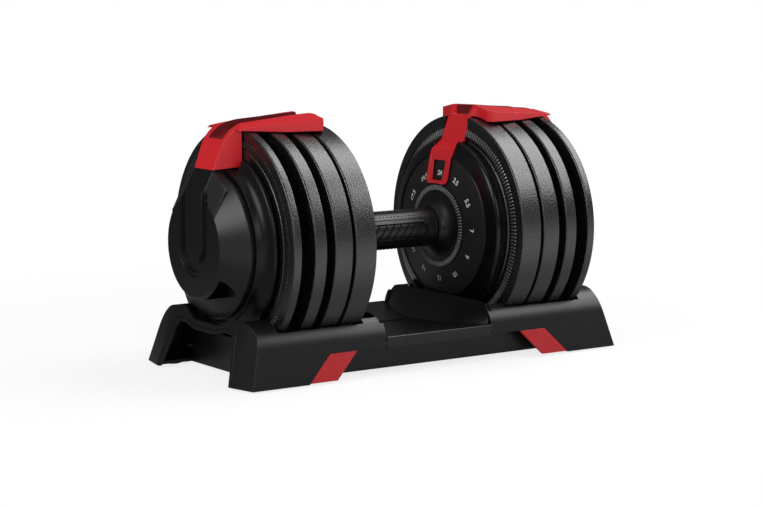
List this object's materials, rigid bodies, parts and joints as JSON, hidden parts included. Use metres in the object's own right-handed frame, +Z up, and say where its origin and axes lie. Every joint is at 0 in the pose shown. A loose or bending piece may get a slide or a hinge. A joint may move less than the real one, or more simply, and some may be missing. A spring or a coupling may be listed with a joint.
{
  "type": "adjustable dumbbell",
  "caption": "Dumbbell standing in its cradle; turning the grip sets the dials and picks which round plates lift off the cradle with the handle.",
  "frame": {"origin": "on the floor under the middle of the cradle, which is the bottom centre of the whole part", "axes": "+X along the handle, -Y towards the front, +Z up"},
  "size_m": [0.4, 0.2, 0.2224],
  "materials": {
    "cradle_plastic": "satin",
    "bezel_plastic": "gloss",
    "cap_plastic": "satin",
    "collar_plastic": "satin",
    "dial_plastic": "matte",
    "red_plastic": "satin",
    "plate_iron": "textured paint",
    "grip_rubber": "matte",
    "foot_rubber": "matte",
    "steel": "plain",
    "disc_steel": "plain",
    "bush_plastic": "plain"
  },
  "bodies": {
    "cradle": {"tray": "cradle_plastic", "base_pan": "cradle_plastic", "cradle_screws": "steel", "cradle_feet": "foot_rubber", "left_saddle": "cradle_plastic", "right_saddle": "cradle_plastic", "left_accents": "red_plastic", "right_accents": "red_plastic", "left_plate_rack": "cradle_plastic", "right_plate_rack": "cradle_plastic", "left_release_post": "cradle_plastic", "right_release_post": "cradle_plastic"},
    "frame": {"left_bridge": "red_plastic", "right_bridge": "red_plastic", "left_dial_housing": "bezel_plastic", "right_dial_housing": "bezel_plastic", "left_outer_cover": "cap_plastic", "right_outer_cover": "cap_plastic", "left_end_cap": "cap_plastic", "right_end_cap": "cap_plastic", "left_inner_bush": "bush_plastic", "right_inner_bush": "bush_plastic", "left_outer_bush": "bush_plastic", "right_outer_bush": "bush_plastic", "left_frame_screws": "steel", "right_frame_screws": "steel", "left_lock_spring": "steel", "right_lock_spring": "steel"},
    "selector": {"grip_sleeve": "grip_rubber", "handle_tube": "steel", "shaft": "steel", "left_hub_collar": "collar_plastic", "right_hub_collar": "collar_plastic", "left_set_screw": "steel", "right_set_screw": "steel", "left_dial": "dial_plastic", "right_dial": "dial_plastic", "left_lock_ring": "steel", "right_lock_ring": "steel", "left_shaft_nut": "steel", "right_shaft_nut": "steel", "left_selector_disc_1": "disc_steel", "right_selector_disc_1": "disc_steel", "left_selector_disc_2": "disc_steel", "right_selector_disc_2": "disc_steel", "left_selector_disc_3": "disc_steel", "right_selector_disc_3": "disc_steel", "left_selector_disc_4": "disc_steel", "right_selector_disc_4": "disc_steel"},
    "left_lock": {"left_lock_slider": "steel"},
    "right_lock": {"right_lock_slider": "steel"},
    "left_plate_1": {"left_plate_1": "plate_iron"},
    "right_plate_1": {"right_plate_1": "plate_iron"},
    "left_plate_2": {"left_plate_2": "plate_iron"},
    "right_plate_2": {"right_plate_2": "plate_iron"},
    "left_plate_3": {"left_plate_3": "plate_iron"},
    "right_plate_3": {"right_plate_3": "plate_iron"},
    "left_plate_4": {"left_plate_4": "plate_iron"},
    "right_plate_4": {"right_plate_4": "plate_iron"}
  },
  "joints": [
    {"name": "lift_off", "type": "slide", "parent": "cradle", "child": "frame", "axis": [0, 0, 1], "range_m": [0, 0.1]},
    {"name": "weight_select", "type": "hinge", "parent": "frame", "child": "selector", "pos_m": [0, 0, 0.113], "axis": [1, 0, 0], "range_deg": [-330, 0]},
    {"name": "left_lock_drop", "type": "slide", "parent": "frame", "child": "left_lock", "axis": [0, 0, 1], "range_m": [-0.004, 0], "deforming": ["left_lock_spring"]},
    {"name": "right_lock_drop", "type": "slide", "parent": "frame", "child": "right_lock", "axis": [0, 0, 1], "range_m": [-0.004, 0], "deforming": ["right_lock_spring"]},
    {"name": "left_plate_1_lift", "type": "slide", "parent": "cradle", "child": "left_plate_1", "axis": [0, 0, 1], "range_m": [0, 0.1]},
    {"name": "right_plate_1_lift", "type": "slide", "parent": "cradle", "child": "right_plate_1", "axis": [0, 0, 1], "range_m": [0, 0.1]},
    {"name": "left_plate_2_lift", "type": "slide", "parent": "cradle", "child": "left_plate_2", "axis": [0, 0, 1], "range_m": [0, 0.1]},
    {"name": "right_plate_2_lift", "type": "slide", "parent": "cradle", "child": "right_plate_2", "axis": [0, 0, 1], "range_m": [0, 0.1]},
    {"name": "left_plate_3_lift", "type": "slide", "parent": "cradle", "child": "left_plate_3", "axis": [0, 0, 1], "range_m": [0, 0.1]},
    {"name": "right_plate_3_lift", "type": "slide", "parent": "cradle", "child": "right_plate_3", "axis": [0, 0, 1], "range_m": [0, 0.1]},
    {"name": "left_plate_4_lift", "type": "slide", "parent": "cradle", "child": "left_plate_4", "axis": [0, 0, 1], "range_m": [0, 0.1]},
    {"name": "right_plate_4_lift", "type": "slide", "parent": "cradle", "child": "right_plate_4", "axis": [0, 0, 1], "range_m": [0, 0.1]}
  ],
  "couplings": [
    {"joint": "left_lock_drop", "follows": "lift_off", "ratio": -0.04},
    {"joint": "right_lock_drop", "follows": "lift_off", "ratio": -0.04},
    {"joint": "left_plate_1_lift", "follows": "lift_off", "ratio": 1},
    {"joint": "right_plate_1_lift", "follows": "lift_off", "ratio": 1},
    {"joint": "left_plate_2_lift", "follows": "lift_off", "ratio": 1},
    {"joint": "right_plate_2_lift", "follows": "lift_off", "ratio": 1},
    {"joint": "left_plate_3_lift", "follows": "lift_off", "ratio": 1},
    {"joint": "right_plate_3_lift", "follows": "lift_off", "ratio": 1},
    {"joint": "left_plate_4_lift", "follows": "lift_off", "ratio": 1},
    {"joint": "right_plate_4_lift", "follows": "lift_off", "ratio": 1}
  ]
}
